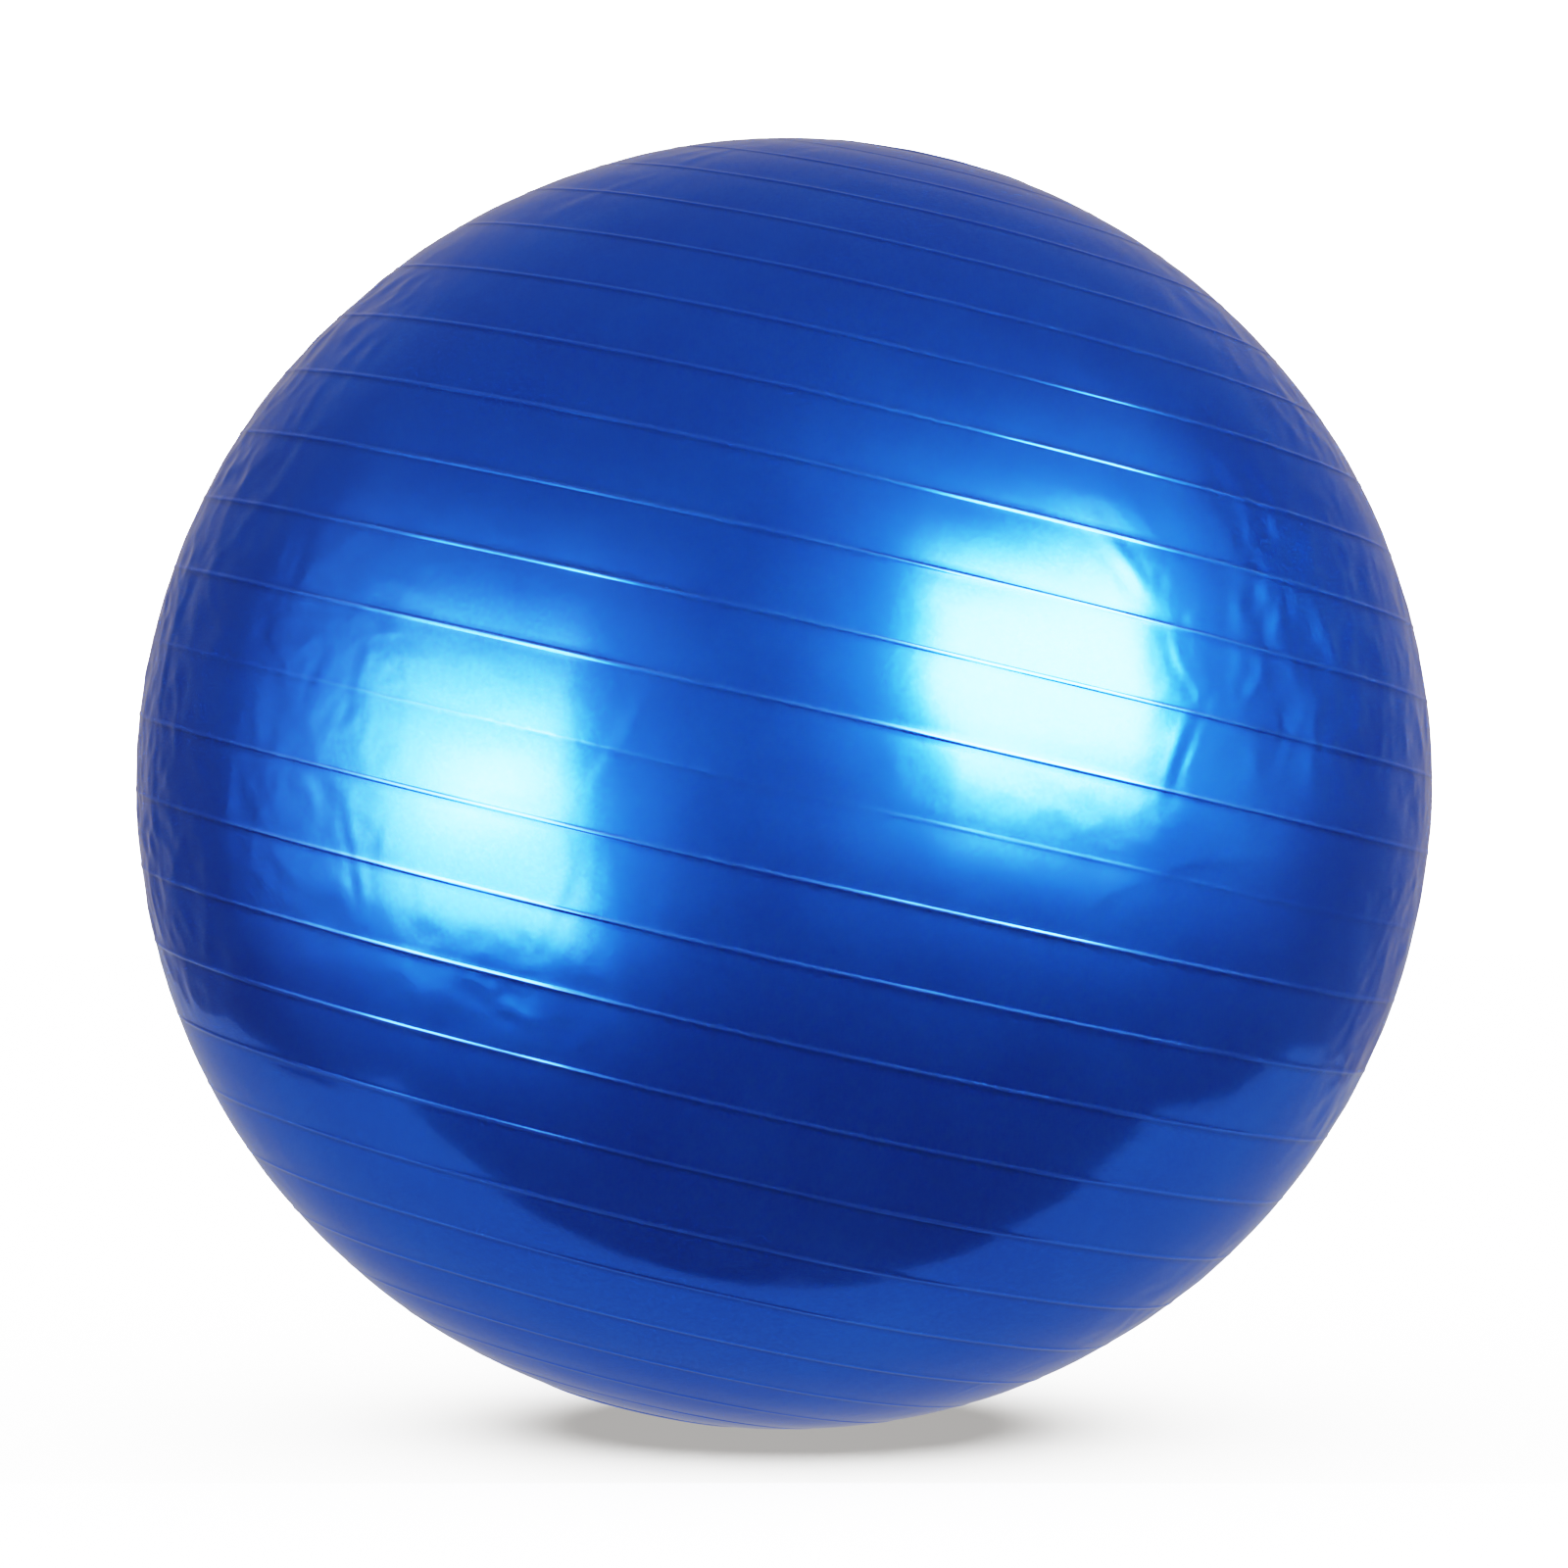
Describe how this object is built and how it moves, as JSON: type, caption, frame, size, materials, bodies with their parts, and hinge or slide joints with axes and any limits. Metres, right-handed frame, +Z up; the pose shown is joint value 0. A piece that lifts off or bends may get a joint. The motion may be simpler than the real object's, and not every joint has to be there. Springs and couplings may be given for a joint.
{
  "type": "exercise ball",
  "caption": "Large ribbed inflatable exercise ball on its contact patch, with a hollow skin, a bonded valve sleeve and a pull-out air plug.",
  "frame": {"origin": "centre of the flattened patch where the ball stands on the floor", "axes": "+Z up; the axis that the rib rings share leans 12.9 degrees from +Z towards +X; the valve is on the +Y side, and the side towards -Y has no valve"},
  "size_m": [0.65, 0.6507, 0.6477],
  "materials": {
    "ball_pvc": "glossy pearl blue soft PVC",
    "sleeve_pvc": "smooth plain blue soft PVC",
    "plug_plastic": "satin white soft plastic"
  },
  "bodies": {
    "ball": {"ball_shell": "ball_pvc", "valve_sleeve": "sleeve_pvc"},
    "plug": {"air_plug": "plug_plastic"}
  },
  "joints": [
    {"name": "plug_pull", "type": "slide", "parent": "ball", "child": "plug", "axis": [0.013, 0.9983, 0.0567], "range_m": [0, 0.045]}
  ]
}
